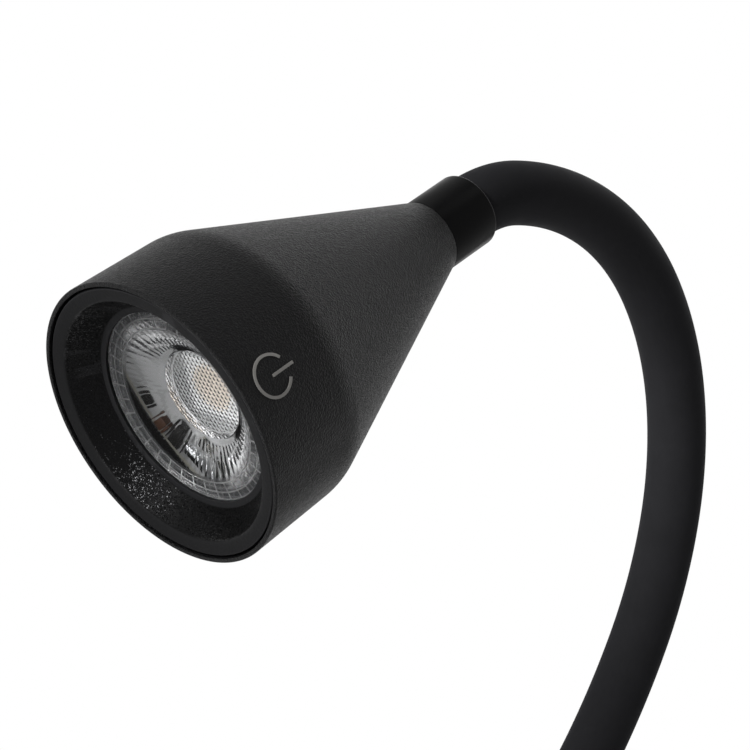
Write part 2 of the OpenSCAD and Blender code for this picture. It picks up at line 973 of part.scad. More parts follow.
module mark_shape() {
  far_x = 3 * mark_r * cos(mark_gap);
  far_y = 3 * mark_r * sin(mark_gap);
  difference() {
    ring(mark_r + mark_w / 2, mark_r - mark_w / 2);
    polygon([[0, 0], [far_x, far_y], [far_x, -far_y]]);
  }
  translate([0, -mark_w / 2])
    square([mark_line, mark_w]);
}

// thin printed mark that follows the side of the drum
module power_mark() {
  grow = (rim_r - drum_back_r) / drum_len;
  z0 = head_len - mark_back - mark_line - mark_room;
  z1 = head_len - mark_back + mark_r + mark_room;
  r0 = rim_r - (head_len - z0) * grow;
  r1 = rim_r - (head_len - z1) * grow;
  color([0.62, 0.6, 0.57])
    at_head()
      intersection() {
        rotate_extrude()
          polygon([[r0, z0], [r0 + mark_h, z0], [r1 + mark_h, z1], [r1, z1]]);
        rotate([0, 0, mark_turn])
          translate([bore_r, 0, head_len - mark_back])
            rotate([0, 90, 0])
              linear_extrude(rim_r)
                mark_shape();
      }
}

module head_wires() {
  color([0.78, 0.78, 0.75])
    at_head()
      for (side = [-1, 1]) {
        out = [0, side * wire_y, lead_head_z + wire_straight];
        bend = [wire_c, side * wire_y, sink_seat - fin_h - wire_bend_gap];
        rotate([0, 0, wire_turn]) {
          rod(wire_r, [0, side * wire_y, lead_head_z], out);
          translate(out)
            sphere(wire_r * bead_grow);
          rod(wire_r, out, bend);
          translate(bend)
            sphere(wire_r * bead_grow);
          rod(wire_r, bend, [wire_c, side * wire_y, board_top + wire_r]);
        }
      }
}

// ---- what is drawn ----

base_pad();
base_plate();
base_cover();
base_screws();
ballast();
ballast_screws();
foot_collar();
foot_ferrule();
foot_washer();
foot_nut();
power_jack();
jack_pin();
jack_nut();
jack_tabs();
base_wires();
arm_core(0);  // arm_core_0
arm_core(1);  // arm_core_1
arm_core(2);  // arm_core_2
arm_core(3);  // arm_core_3
arm_core(4);  // arm_core_4
arm_core(5);  // arm_core_5
arm_core(6);  // arm_core_6
arm_core(7);  // arm_core_7
arm_core(8);  // arm_core_8
arm_core(9);  // arm_core_9
arm_core(10);  // arm_core_10
arm_core(11);  // arm_core_11
arm_core(12);  // arm_core_12
arm_sleeve(0);  // arm_sleeve_0
arm_sleeve(1);  // arm_sleeve_1
arm_sleeve(2);  // arm_sleeve_2
arm_sleeve(3);  // arm_sleeve_3
arm_sleeve(4);  // arm_sleeve_4
arm_sleeve(5);  // arm_sleeve_5
arm_sleeve(6);  // arm_sleeve_6
arm_sleeve(7);  // arm_sleeve_7
arm_sleeve(8);  // arm_sleeve_8
arm_sleeve(9);  // arm_sleeve_9
arm_sleeve(10);  // arm_sleeve_10
arm_sleeve(11);  // arm_sleeve_11
arm_sleeve(12);  // arm_sleeve_12
arm_lead();
head_collar();
head_ferrule();
head_washer();
head_nut();
head_shell();
heat_sink();
sink_screws();
led_board();
led_chip();
board_parts();
board_screws();
lens();
trim_ring();
touch_pad();
touch_wire();
power_mark();
head_wires();
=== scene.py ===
"""Gooseneck desk lamp, dressed over its construction model.

Each piece or group of like pieces is made by its own operator, in metres, in the frame of the
construction model: +Z up, the arm in the XZ plane, the head toward -X, the power inlet toward +X.
"""
import math

import bmesh
import bpy
from bpy.props import FloatProperty, FloatVectorProperty, IntProperty, PointerProperty
from mathutils import Matrix, Vector


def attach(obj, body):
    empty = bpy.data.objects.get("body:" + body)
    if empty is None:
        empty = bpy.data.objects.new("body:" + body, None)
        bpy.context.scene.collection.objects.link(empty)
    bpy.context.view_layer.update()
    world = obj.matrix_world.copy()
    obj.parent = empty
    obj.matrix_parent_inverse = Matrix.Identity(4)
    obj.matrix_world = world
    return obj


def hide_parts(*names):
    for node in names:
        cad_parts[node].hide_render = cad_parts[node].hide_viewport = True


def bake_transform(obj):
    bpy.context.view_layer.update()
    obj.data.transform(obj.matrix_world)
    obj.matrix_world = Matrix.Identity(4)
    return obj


bl_info = {
    "name": "Gooseneck desk lamp",
    "version": (1, 0, 0),
    "blender": (4, 5, 0),
    "location": "View3D > Sidebar > Lamp",
    "description": "Models and finishes a desk lamp with a sleeved gooseneck arm and a cone-shaped head",
    "category": "Object",
}

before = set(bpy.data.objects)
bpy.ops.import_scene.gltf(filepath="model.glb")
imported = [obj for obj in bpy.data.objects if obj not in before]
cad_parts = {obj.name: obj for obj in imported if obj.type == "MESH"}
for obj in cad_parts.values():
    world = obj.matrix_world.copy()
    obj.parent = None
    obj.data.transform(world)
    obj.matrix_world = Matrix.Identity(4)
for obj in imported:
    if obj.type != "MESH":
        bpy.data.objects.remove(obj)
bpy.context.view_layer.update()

MM = 0.001
MERGE = 1e-6  # corners nearer than this become one, m

# The arm, in millimetres and degrees. TURNS holds the bend of each stretch, from the foot to the head.
TURNS = (0, -4, -9, -14, -12, -4, 12.3, 19.1, 21.2, 22.1, 24.7, 22.5, 26.2)
LAST = len(TURNS) - 1
STRETCH = 28.0
FOOT_MOUTH = 42.0  # height of the foot collar's mouth
IN_COLLAR = 3.5  # length of the sleeve inside a collar
BEND_HALF = 12.0  # length of the sleeve that bends on each side of a joint
SLEEVE_R, SLEEVE_WALL = 6.3, 0.6
LEAD_R, LEAD_WALL = 1.6, 0.5

# The head, in millimetres. Heights go along it from the mouth of its collar.
COLLAR_R, COLLAR_LEN = 7.4, 12.0
SOCKET_R, SOCKET_LEN = 6.35, 8.0  # the part of a collar's bore that takes the sleeve
FITTING_BORE = 5.05
NUT_SEAT, NUT_SEAT_R = 21.0, 8.56
CONE_END, CONE_END_R = 63.2, 27.15
DRUM_FLOOR, DRUM_BORE = 63.7, 25.2
LEDGE = 81.1  # where the trim ring rests in the drum
HEAD_LEN, RIM_R, RIM_BORE = 84.1, 27.8, 26.9
TRIM_FACE = HEAD_LEN - 0.3
BAFFLE_FOOT, BAFFLE_FOOT_R = 78.0, 20.15
LENS_R, LENS_BACK, LENS_FACE = 19.0, 75.2, 77.4
CELLS = 36  # moulded cells round the lens
CELL_FACE = LENS_FACE - 0.2
CELL_RINGS = (15.4, 17.3)  # inner radius of each ring of cells
CELL_LINES = (*CELL_RINGS, 18.8)
BOARD_TOP, BOARD_R = 62.0, 20.58

# Blocks on the board: turn in degrees, inset from its edge, width, length and height in millimetres, finish.
SMALL_PARTS = (
    (114, 2.4, 1.6, 2.2, 1.8, "chip_package"),
    (126, 2.6, 2.6, 2.2, 2.6, "brown_ceramic"),
    (135, 3.6, 4.4, 2.4, 2, "chip_package"),
    (152, 6, 1.2, 2, 0.8, "chip_package"),
    (198, 7.6, 1.2, 2, 0.8, "chip_package"),
    (232, 6, 2.4, 3.4, 1.2, "chip_package"),
    (248, 3.4, 1.2, 2, 0.8, "chip_package"),
    (262, 6.6, 2, 3.2, 1.1, "brown_ceramic"),
    (306, 5, 2, 3.2, 1.1, "brown_ceramic"),
    (345, 7.6, 1.2, 2, 0.8, "chip_package"),
    (25, 7, 1.2, 2, 0.8, "chip_package"),
)
TALL_PART = 1.5  # blocks higher than this are wound parts, which show only a tinned foot at each end

# The stage, in metres.
FLOOR_SIZE, FLOOR_Z = 12, -0.0006
SHADOW_NEAR, SHADOW_FAR = 0.22, 0.38  # the shadow is whole up to the first and gone from the second
DARK_REFLECTION_SPOT = (-0.25, 0.33)  # where the flat face of the lens mirrors the floor to the camera: the middle of a painted dark reflection, seen only in gloss
DARK_REFLECTION_R = 0.2
LIGHT_TARGET = Vector((-0.02, 0, 0.29))
LIGHT_DISTANCE = 1.3
CAMERA_FROM_RIM = Vector((-0.30806642, -0.33620626, 0.16682171))


# ---- the arm's centre line ----

def stretch_run(i):
    """Length of stretch i in millimetres: the first and the last are half ones."""
    return STRETCH / 2 if i in (0, LAST) else STRETCH


def stretch_start(i):
    """Place (x, z) in millimetres and lean in degrees where stretch i starts."""
    x, z, lean = 0.0, FOOT_MOUTH, 0.0
    for k in range(i):
        x, z, lean = stretch_point(k, stretch_run(k), (x, z, lean))
    return x, z, lean


def stretch_point(i, s, start=None):
    """Place and lean at distance s along stretch i."""
    x, z, lean = start or stretch_start(i)
    turn = TURNS[i] * s / stretch_run(i)
    a = math.radians(lean)
    if not turn:
        dx, dz = 0.0, s
    else:
        r = s / math.radians(turn)
        dx = -r * (1 - math.cos(math.radians(turn)))
        dz = r * math.sin(math.radians(turn))
    return x + dx * math.cos(a) - dz * math.sin(a), z + dx * math.sin(a) + dz * math.cos(a), lean + turn


def place_at(x, z, lean):
    """The frame at a point of the centre line: +Z along the arm, +X toward the outside of a positive turn."""
    return Matrix.Translation((x * MM, 0, z * MM)) @ Matrix.Rotation(-math.radians(lean), 4, "Y")


HEAD = place_at(*stretch_start(LAST + 1))
FOOT = Matrix.Translation((0, 0, FOOT_MOUTH * MM)) @ Matrix.Rotation(math.pi, 4, "X")


# ---- shader values and nodes ----

class Value:
    """A socket's value, for use in expressions."""

    def __init__(self, nodes, socket):
        self.nodes = nodes
        self.socket = socket

    def maths(self, operation, *values):
        return self.nodes.maths(operation, *values)

    def __add__(self, other):
        return self.maths("ADD", self, other)

    __radd__ = __add__

    def __sub__(self, other):
        return self.maths("SUBTRACT", self, other)

    def __rsub__(self, other):
        return self.maths("SUBTRACT", other, self)

    def __mul__(self, other):
        return self.maths("MULTIPLY", self, other)

    __rmul__ = __mul__

    def __pow__(self, other):
        return self.maths("POWER", self, other)

    def cosine(self):
        return self.maths("COSINE", self)

    def absolute(self):
        return self.maths("ABSOLUTE", self)


class Nodes:
    """A node tree that starts empty and the methods that add nodes to it."""

    def __init__(self, tree):
        self.tree = tree
        tree.nodes.clear()

    def node(self, kind, settings=None, sockets=None):
        """A node with these settings, and with these values in its sockets or links to them."""
        made = self.tree.nodes.new(kind)
        for name, value in (settings or {}).items():
            setattr(made, name, value)
        for name, value in (sockets or {}).items():
            if isinstance(value, Value):
                self.tree.links.new(value.socket, made.inputs[name])
            elif isinstance(value, bpy.types.NodeSocket):
                self.tree.links.new(value, made.inputs[name])
            else:
                made.inputs[name].default_value = value
        return made

    def maths(self, operation, *values):
        node = self.node("ShaderNodeMath", {"operation": operation}, dict(enumerate(values)))
        return Value(self, node.outputs[0])

    def ramp(self, value, low, high, a=0.0, b=1.0):
        """value from low to high becomes a to b, smoothly."""
        made = self.node("ShaderNodeMapRange", {"interpolation_type": "SMOOTHSTEP"}, {
            "Value": value, "From Min": low, "From Max": high, "To Min": a, "To Max": b})
        return Value(self, made.outputs["Result"])

    def axes(self, at):
        """The three numbers of a vector."""
        made = self.node("ShaderNodeSeparateXYZ", {}, {0: at})
        return [Value(self, made.outputs[i]) for i in range(3)]

    def is_ray(self, kind):
        """1 for rays of this kind, such as Camera, and 0 for others."""
        return Value(self, self.node("ShaderNodeLightPath").outputs["Is %s Ray" % kind])

    def is_seen(self):
        """1 for the rays that show the background: from the camera, in gloss and through glass."""
        either = self.maths("MAXIMUM", self.is_ray("Camera"), self.is_ray("Glossy"))
        return self.maths("MAXIMUM", either, self.is_ray("Transmission"))


class Paint(Nodes):
    """A material's node tree, with one Principled shader that feeds its output."""

    def __init__(self, name, roughness=0.5, colour=(0.5, 0.5, 0.5), metallic=0.0, **sockets):
        self.material = bpy.data.materials.new(name)
        self.material.use_nodes = True
        super().__init__(self.material.node_tree)
        first = {"Base Color": (*colour, 1.0), "Roughness": roughness, "Metallic": metallic}
        first.update({k.replace("_", " "): v for k, v in sockets.items()})
        self.shader = self.node("ShaderNodeBsdfPrincipled", {}, first)
        self.out = self.node("ShaderNodeOutputMaterial", {}, {"Surface": self.shader.outputs[0]})
        self.material.diffuse_color = (*colour, 1.0)
        self.material.roughness = roughness
        self.material.metallic = metallic

    def place(self, matrix=None, scale=None):
        """Object coordinates, those of the frame that a matrix gives, or scaled ones."""
        coordinate = self.node("ShaderNodeTexCoord").outputs["Object"]
        if matrix is not None:
            return self.node("ShaderNodeMapping", {"vector_type": "TEXTURE"}, {
                "Vector": coordinate, "Location": matrix.to_translation(),
                "Rotation": matrix.to_euler()}).outputs[0]
        if scale is not None:
            return self.node("ShaderNodeMapping", {}, {"Vector": coordinate, "Scale": scale}).outputs[0]
        return coordinate

    def noise(self, size, detail=2.0, rough=0.5, at=None):
        """Noise from 0 to 1 with features of about this size in metres."""
        made = self.node("ShaderNodeTexNoise", {}, {
            "Vector": at or self.place(), "Scale": 1 / size, "Detail": detail, "Roughness": rough})
        return Value(self, made.outputs["Fac"])

    def cells(self, size, feature="F1", at=None, random=1.0, out="Distance"):
        """Irregular cells of about this size in metres."""
        made = self.node("ShaderNodeTexVoronoi", {"feature": feature}, {
            "Vector": at or self.place(), "Scale": 1 / size, "Randomness": random})
        return Value(self, made.outputs[out])

    def mix(self, factor, a, b):
        """Colour a where the factor is 0 and colour b where it is 1."""
        a, b = ((*c[:3], 1.0) if isinstance(c, (tuple, list)) else c for c in (a, b))
        return self.node("ShaderNodeMix", {"data_type": "RGBA"}, {0: factor, 6: a, 7: b}).outputs[2]

    def colour(self, value):
        self.tree.links.new(value, self.shader.inputs["Base Color"])

    def rough(self, value):
        self.tree.links.new(value.socket, self.shader.inputs["Roughness"])

    def metal(self, value):
        self.tree.links.new(value.socket, self.shader.inputs["Metallic"])

    def cover(self, factor, shader):
        """Lays another shader over the first one, as far as the factor says."""
        both = self.node("ShaderNodeMixShader", {}, {
            0: factor, 1: self.shader.outputs[0], 2: shader.outputs[0]})
        self.tree.links.new(both.outputs[0], self.out.inputs["Surface"])

    def facets(self, size, tilt):
        """A normal that each cell of this size in metres tilts its own way, up to half of tilt."""
        cells = self.node("ShaderNodeTexVoronoi", {}, {"Vector": self.place(), "Scale": 1 / size})
        lean = self.node("ShaderNodeVectorMath", {"operation": "SUBTRACT"}, {
            0: cells.outputs["Color"], 1: (0.5, 0.5, 0.5)})
        lean = self.node("ShaderNodeVectorMath", {"operation": "SCALE"}, {0: lean.outputs[0], "Scale": tilt})
        whole = self.node("ShaderNodeVectorMath", {"operation": "ADD"}, {
            0: lean.outputs[0], 1: self.node("ShaderNodeNewGeometry").outputs["Normal"]})
        return self.node("ShaderNodeVectorMath", {"operation": "NORMALIZE"}, {0: whole.outputs[0]}).outputs[0]

    def bump(self, height, depth, normal=None):
        """Relief of this depth in metres where height goes from 0 to 1."""
        made = self.node("ShaderNodeBump", {}, {"Distance": depth, "Height": height})
        if normal:
            self.tree.links.new(normal, made.inputs["Normal"])
        self.tree.links.new(made.outputs[0], self.shader.inputs["Normal"])
        return self

    def edges(self):
        """1 on worn convex edges and 0 elsewhere."""
        point = Value(self, self.node("ShaderNodeNewGeometry").outputs["Pointiness"])
        return self.ramp(point, 0.51, 0.53)


# ---- finishes ----

def shaded(colour, share):
    """A colour made darker or paler by this share, up to white."""
    return tuple(min(1.0, c * share) for c in colour)


def head_plastic():
    """Black moulded plastic with a fine leather-like grain and a few glints."""
    s = bpy.context.scene.lamp_finish
    colour, roughness, grain = s.shell_colour, s.shell_roughness, 0.00032
    paint = Paint("Textured black plastic", roughness=roughness, colour=colour, Specular_IOR_Level=0.105)
    worms = paint.cells(grain)
    broad = paint.noise(grain * 2.4, 2.0, 0.5)
    tiny = paint.noise(grain * 0.4, 1.0, 0.5)
    patches = paint.noise(0.018, 2.0, 0.5)
    worn = paint.edges()
    glint = paint.ramp(paint.noise(grain * 0.7, 0.0), 0.74, 0.8)
    tone = paint.mix(patches, shaded(colour, 0.85), shaded(colour, 1.2))
    paint.colour(paint.mix(worn * 0.3, tone, tuple(c * 2 + 0.006 for c in colour)))
    even = paint.ramp(broad, 0.3, 0.7, roughness - 0.05, roughness + 0.05)
    paint.rough(even + patches * 0.04 - worn * 0.06 - glint * 0.22)
    return paint.bump(worms * 0.8 + broad * 0.25 + tiny * 0.2 + glint * 0.3, 0.0002)


def head_place(paint):
    """Distance from the head's axis and height along it, in metres."""
    x, y, z = paint.axes(paint.place(HEAD))
    return (x * x + y * y) ** 0.5, z


def baffle_plastic():
    """Coarse spark grain that glitters inside the trim ring, fine on its flat front; the recessed wall is
    painted dark as painted shade, and the flat front and lens seat paler as painted light.
    """
    # painted shade: the recessed baffle wall is given a third of the shell's colour, far darker than the
    # plastic itself
    deep = shaded(bpy.context.scene.lamp_finish.shell_colour, 0.3)
    grain = 0.00016
    paint = Paint("Spark-grained black plastic", roughness=0.2, colour=deep, Specular_IOR_Level=0.06)
    radius, z = head_place(paint)
    flat = paint.ramp(z, (TRIM_FACE - 0.7) * MM, (TRIM_FACE - 0.4) * MM)
    seat = paint.ramp(radius, 0.0202, 0.0199)
    wall = (1 - flat) * (1 - seat)
    fine = paint.noise(0.0005, 2.0, 0.5)
    spark = paint.ramp(paint.cells(grain, out="Color"), 0.54, 0.57) * wall
    tone = paint.mix(paint.noise(0.012), shaded(deep, 0.8), shaded(deep, 1.25))
    # painted light: the flat front and the lens seat are painted paler than the recessed wall
    flat_and_seat_painted_light = paint.mix(seat * 0.3 + flat * 0.17, tone, (0.035, 0.035, 0.037))
    worn = paint.mix(paint.edges() * 0.3, flat_and_seat_painted_light, (0.03, 0.03, 0.032))
    paint.colour(paint.mix(spark, worn, (0.008, 0.008, 0.0083)))
    paint.metal(spark)
    paint.rough(paint.ramp(fine, 0.35, 0.65, 0.46, 0.54) - spark * 0.34)
    return paint.bump(fine, 0.00004, normal=paint.facets(grain, spark * 0.5))


def collar_plastic():
    """Smooth moulded plastic with a faint haze."""
    colour = bpy.context.scene.lamp_finish.collar_colour
    paint = Paint("Smooth satin black plastic", roughness=0.34, colour=colour, Specular_IOR_Level=0.04)
    haze = paint.noise(0.006, 3.0, 0.55)
    fine = paint.noise(0.00025, 2.0, 0.5)
    paint.colour(paint.mix(haze, shaded(colour, 0.8), shaded(colour, 1.3)))
    paint.rough(paint.ramp(haze, 0.3, 0.7, 0.29, 0.38) - paint.edges() * 0.1)
    return paint.bump(fine * 0.5 + haze * 0.5, 0.00002)


def sleeve_silicone():
    """Smooth matte silicone with faint dust and slight handling sheen."""
    colour = bpy.context.scene.lamp_finish.sleeve_colour
    paint = Paint("Matte black silicone", roughness=0.6, colour=colour, Specular_IOR_Level=0.012)
    haze = paint.noise(0.012, 3.0, 0.6)
    skin = paint.noise(0.0004, 3.0, 0.55)
    dust = paint.ramp(paint.noise(0.0011, 1.0), 0.76, 0.82)
    tone = paint.mix(haze, shaded(colour, 0.8), shaded(colour, 1.25))
    paint.colour(paint.mix(dust * 0.2, tone, (0.05, 0.05, 0.052)))
    paint.rough(paint.ramp(haze, 0.3, 0.7, 0.55, 0.66) + dust * 0.1)
    return paint.bump(skin * 0.7 + haze * 0.6, 0.00003)


def clear_plastic():
    """Clear acrylic with small hexagonal facets over the light source and a frosted ring of moulded cells;
    painted shade tints it grey and dims its reflections, and its cells carry painted shade on their faces and
    painted highlights on their edges.
    """
    # painted shade: Specular Tint dims the plastic's reflections to a tenth, standing in for darker
    # surroundings than the white backdrop
    paint = Paint("Clear moulded acrylic", roughness=0.03, colour=(0.88, 0.89, 0.895), IOR=1.49,
                  Transmission_Weight=1.0, Specular_Tint=(0.1, 0.1, 0.1, 1.0))
    x, y, z = paint.axes(paint.place(HEAD))
    radius = (x * x + y * y) ** 0.5
    floor = paint.ramp(z, 0.0654, 0.0653) * paint.ramp(radius, 0.0083, 0.0081)
    pitch = 0.001
    tall = 0.866  # half the square root of 3
    wave = 2 * math.pi / (pitch * tall)
    hexes = (x * wave).cosine()
    for side in (tall, -tall):
        hexes = hexes + ((x * 0.5 + y * side) * wave).cosine()
    rim = paint.ramp(radius, 0.0143, 0.0146) * paint.ramp(z, 0.0745, 0.075)
    turn = paint.maths("ARCTAN2", y, x) * (CELLS / (2 * math.pi))
    lines = paint.ramp(paint.maths("PINGPONG", turn, 0.5), 0.075, 0.02)
    for line in CELL_LINES:
        lines = paint.maths("MAXIMUM", lines, paint.ramp((radius - line * MM).absolute(), 0.0002, 0.00008))
    lines = lines * paint.ramp(radius, 0.0151, 0.0154)
    smear = paint.noise(0.004, 3.0, 0.6)
    ripple = paint.noise(0.0015, 2.0, 0.5)
    # painted shade and highlight: the faces of the cells are painted darker and the lines between them paler,
    # in the clear plastic and in its frosted layer
    cell = paint.mix(lines, (0.55, 0.555, 0.56), (0.82, 0.82, 0.825))
    # painted shade: inside the ring of cells the clear plastic is tinted grey, darkening the board behind it,
    # which the lens does not shadow
    paint.colour(paint.mix(rim, (0.72, 0.725, 0.735), cell))
    paint.rough(paint.ramp(smear, 0.35, 0.75, 0.04, 0.08) + floor * 0.13 + rim * 0.12 + rim * lines * 0.35)
    paint.bump(floor * hexes * 0.4 + ripple * 0.015, 0.0001)
    frost_with_painted_highlight = paint.mix(lines, (0.05, 0.051, 0.053), (0.13, 0.13, 0.134))
    frost = paint.node("ShaderNodeBsdfPrincipled", {}, {
        "Base Color": frost_with_painted_highlight, "Roughness": 0.4, "Specular IOR Level": 0.1})
    paint.cover(rim * 0.4, frost)
    return paint


def board_mask():
    """Solder mask, white but painted dark grey as painted shade, with copper tracks under it and a ring of
    pads.
    """
    # painted shade: the white mask and its tracks are given dark greys, for the shade inside the head that
    # the lens does not cast
    paint = Paint("White solder mask", roughness=0.38, colour=(0.36, 0.36, 0.355))
    radius, _ = head_place(paint)
    track = paint.cells(0.0042, "DISTANCE_TO_EDGE", at=paint.place(HEAD), random=0.7)
    raised = paint.ramp(track, 0.05, 0.08)
    grain = paint.noise(0.0004, 2.0)
    tone = paint.mix(raised, (0.32, 0.322, 0.32), (0.39, 0.392, 0.39))
    paint.colour(paint.mix(paint.ramp(radius, 0.0196, 0.0203), tone, (0.33, 0.32, 0.27)))
    paint.rough(paint.ramp(grain, 0.3, 0.7, 0.32, 0.45))
    return paint.bump(raised * 0.8 + grain * 0.2, 0.00004)


def chip_phosphor():
    """Yellow phosphor disc on white ceramic."""
    paint = Paint("Phosphor and ceramic", roughness=0.45, colour=(0.85, 0.84, 0.8))
    radius, _ = head_place(paint)
    inside = paint.ramp(radius, 0.00462, 0.00448)
    grain = paint.noise(0.0002, 2.0)
    glow = paint.mix(grain, (0.60, 0.51, 0.42), (0.66, 0.58, 0.49))
    paint.colour(paint.mix(inside, (0.70, 0.695, 0.69), glow))
    paint.rough(paint.ramp(grain, 0.3, 0.7, 0.35, 0.55))
    return paint.bump(grain, 0.00002)


def metal(name, colour, roughness):
    """Machined or drawn metal with fine lines across its length, stains and bright edges."""
    paint = Paint(name, roughness=roughness, colour=colour, metallic=1.0)
    lines = paint.noise(0.0006, 3.0, 0.6, at=paint.place(scale=(1, 1, 0.15)))
    stains = paint.noise(0.006, 3.0, 0.6)
    paint.colour(paint.mix(stains, shaded(colour, 0.8), colour))
    paint.rough(paint.ramp(stains, 0.3, 0.7, roughness - 0.05, roughness + 0.1) - paint.edges() * 0.08)
    return paint.bump(lines, 0.000012)


def plain_plastic(name, colour, roughness, size=0.0007, depth=0.00003, shine=0.5):
    """Moulded plastic with grain of this size and depth in metres."""
    paint = Paint(name, roughness=roughness, colour=colour, Specular_IOR_Level=shine)
    grain = paint.noise(size, 3.0, 0.55)
    patches = paint.noise(0.01, 2.0)
    paint.colour(paint.mix(patches, shaded(colour, 0.8), shaded(colour, 1.15)))
    paint.rough(paint.ramp(grain, 0.3, 0.7, roughness - 0.06, roughness + 0.06))
    return paint.bump(grain, depth)


def cast_iron():
    """Sand-cast iron under a thin grey primer."""
    paint = Paint("Primed cast iron", roughness=0.62, colour=(0.06, 0.062, 0.066), metallic=0.35)
    pits = paint.cells(0.0022, "SMOOTH_F1")
    sand = paint.noise(0.0009, 4.0, 0.65)
    paint.colour(paint.mix(sand, (0.045, 0.045, 0.05), (0.1, 0.1, 0.105)))
    paint.rough(paint.ramp(sand, 0.3, 0.7, 0.5, 0.75))
    return paint.bump(pits * 0.6 + sand * 0.6, 0.0002)


def foam_pad():
    """Soft black foam with fine pores."""
    paint = Paint("Closed-cell foam", roughness=0.85, colour=(0.022, 0.022, 0.023))
    pores = paint.cells(0.0005)
    paint.colour(paint.mix(pores, (0.012, 0.012, 0.013), (0.04, 0.04, 0.042)))
    paint.rough(paint.ramp(pores, 0.1, 0.6, 0.75, 0.92))
    return paint.bump(pores, 0.00012)


def mark_ink():
    """Pale warm grey ink, slightly uneven."""
    colour = bpy.context.scene.lamp_finish.mark_colour
    paint = Paint("Warm grey ink", roughness=0.55, colour=colour)
    film = paint.noise(0.0005, 3.0, 0.6)
    paint.colour(paint.mix(film, shaded(colour, 0.85), shaded(colour, 1.1)))
    paint.rough(paint.ramp(film, 0.3, 0.7, 0.48, 0.62))
    return paint.bump(film * 0.6 + paint.cells(0.0006, "SMOOTH_F1") * 0.4, 0.00004)


FINISHES = {}
MAKERS = {maker.__name__: maker for maker in (
    head_plastic, baffle_plastic, collar_plastic, sleeve_silicone, clear_plastic, board_mask, chip_phosphor,
    cast_iron, foam_pad, mark_ink,
)}
METALS = {
    "spring_steel": ("Wound spring steel", (0.42, 0.42, 0.44), 0.36),
    "zinc_steel": ("Zinc-plated steel", (0.6, 0.61, 0.64), 0.3),
    "brass": ("Machined brass", (0.72, 0.56, 0.3), 0.28),
    "tinned_brass": ("Tinned contact metal", (0.7, 0.68, 0.62), 0.25),
    "aluminium": ("Extruded aluminium", (0.72, 0.73, 0.75), 0.34),
    "copper_foil": ("Copper foil", (0.82, 0.45, 0.3), 0.26),
    "silver_can": ("Bright can", (0.82, 0.83, 0.84), 0.16),
}
PLASTICS = {
    "inlet_plastic": ("Inlet moulding", (0.02, 0.02, 0.021), 0.4),
    "plate_plastic": ("Bottom plate moulding", (0.03, 0.03, 0.032), 0.55, 0.0009, 0.00006),
    "lead_jacket": ("Lead jacket", (0.025, 0.025, 0.026), 0.5),
    "wire_insulation": ("Wire insulation", (0.6, 0.6, 0.58), 0.42),
    "chip_package": ("Moulded chip package", (0.01, 0.0095, 0.009), 0.42, 0.0002, 0.000015, 0.12),
    "brown_ceramic": ("Brown ceramic", (0.06, 0.028, 0.016), 0.4, 0.0002, 0.00001, 0.12),
}


def finish(name):
    """The finish of this name, made once."""
    if name not in FINISHES:
        if name in METALS:
            paint = metal(*METALS[name])
        elif name in PLASTICS:
            paint = plain_plastic(*PLASTICS[name])
        else:
            paint = MAKERS[name]()
        FINISHES[name] = paint.material
    return FINISHES[name]


CAD_FINISHES = {
    "base_pad": "foam_pad", "base_plate": "plate_plastic", "base_cover": "head_plastic",
    "base_screws": "zinc_steel", "ballast": "cast_iron", "ballast_screws": "zinc_steel",
    "foot_collar": "collar_plastic", "foot_ferrule": "brass", "foot_washer": "zinc_steel",
    "foot_nut": "brass", "power_jack": "inlet_plastic", "jack_pin": "tinned_brass",
    "jack_nut": "zinc_steel", "jack_tabs": "tinned_brass", "base_wires": "wire_insulation",
    "arm_lead": "lead_jacket", "head_collar": "collar_plastic", "head_ferrule": "brass",
    "head_washer": "zinc_steel", "head_nut": "brass", "head_shell": "head_plastic",
    "heat_sink": "aluminium", "sink_screws": "zinc_steel",
    "led_board": "board_mask", "led_chip": "chip_phosphor", "board_parts": "chip_package",
    "board_screws": "zinc_steel", "lens": "clear_plastic", "trim_ring": "baffle_plastic",
    "touch_pad": "copper_foil", "touch_wire": "tinned_brass", "head_wires": "wire_insulation",
    "power_mark": "mark_ink",
}


# ---- modelling by hand ----

def clear_selection():
    """Leaves edit mode with nothing selected."""
    if bpy.context.object and bpy.context.object.mode != "OBJECT":
        bpy.ops.object.mode_set(mode="OBJECT")
    bpy.ops.object.select_all(action="DESELECT")


def start_piece(name):
    """A new piece of one vertex at the origin, left in edit mode with that vertex selected."""
    clear_selection()
    bpy.ops.mesh.primitive_plane_add(size=0.001)
    piece = bpy.context.object
    piece.name = name
    piece.data.name = name
    bpy.ops.object.mode_set(mode="EDIT")
    bpy.context.tool_settings.mesh_select_mode = (True, False, False)
    bpy.ops.mesh.select_all(action="SELECT")
    bpy.ops.mesh.merge(type="CENTER")
    return piece


def turned(name, outline, steps, closed=True):
    """An outline of (radius, height) points in millimetres, spun round the Z axis into a solid."""
    piece = start_piece(name)
    points = outline + outline[:1] if closed else outline
    bpy.ops.transform.translate(value=(points[0][0] * MM, 0, points[0][1] * MM))
    for (r0, z0), (r1, z1) in zip(points, points[1:]):
        move = ((r1 - r0) * MM, 0, (z1 - z0) * MM)
        bpy.ops.mesh.extrude_region_move(TRANSFORM_OT_translate={"value": move})
    bpy.ops.mesh.select_all(action="SELECT")
    bpy.ops.mesh.spin(steps=steps, angle=2 * math.pi, center=(0, 0, 0), axis=(0, 0, 1))
    close_mesh()
    return piece


def close_mesh():
    """Merges doubles, turns the faces outward and leaves edit mode."""
    bpy.ops.mesh.select_all(action="SELECT")
    bpy.ops.mesh.remove_doubles(threshold=MERGE)
    bpy.ops.mesh.dissolve_degenerate(threshold=1e-7)
    bpy.ops.mesh.normals_make_consistent(inside=False)
    bpy.ops.object.mode_set(mode="OBJECT")


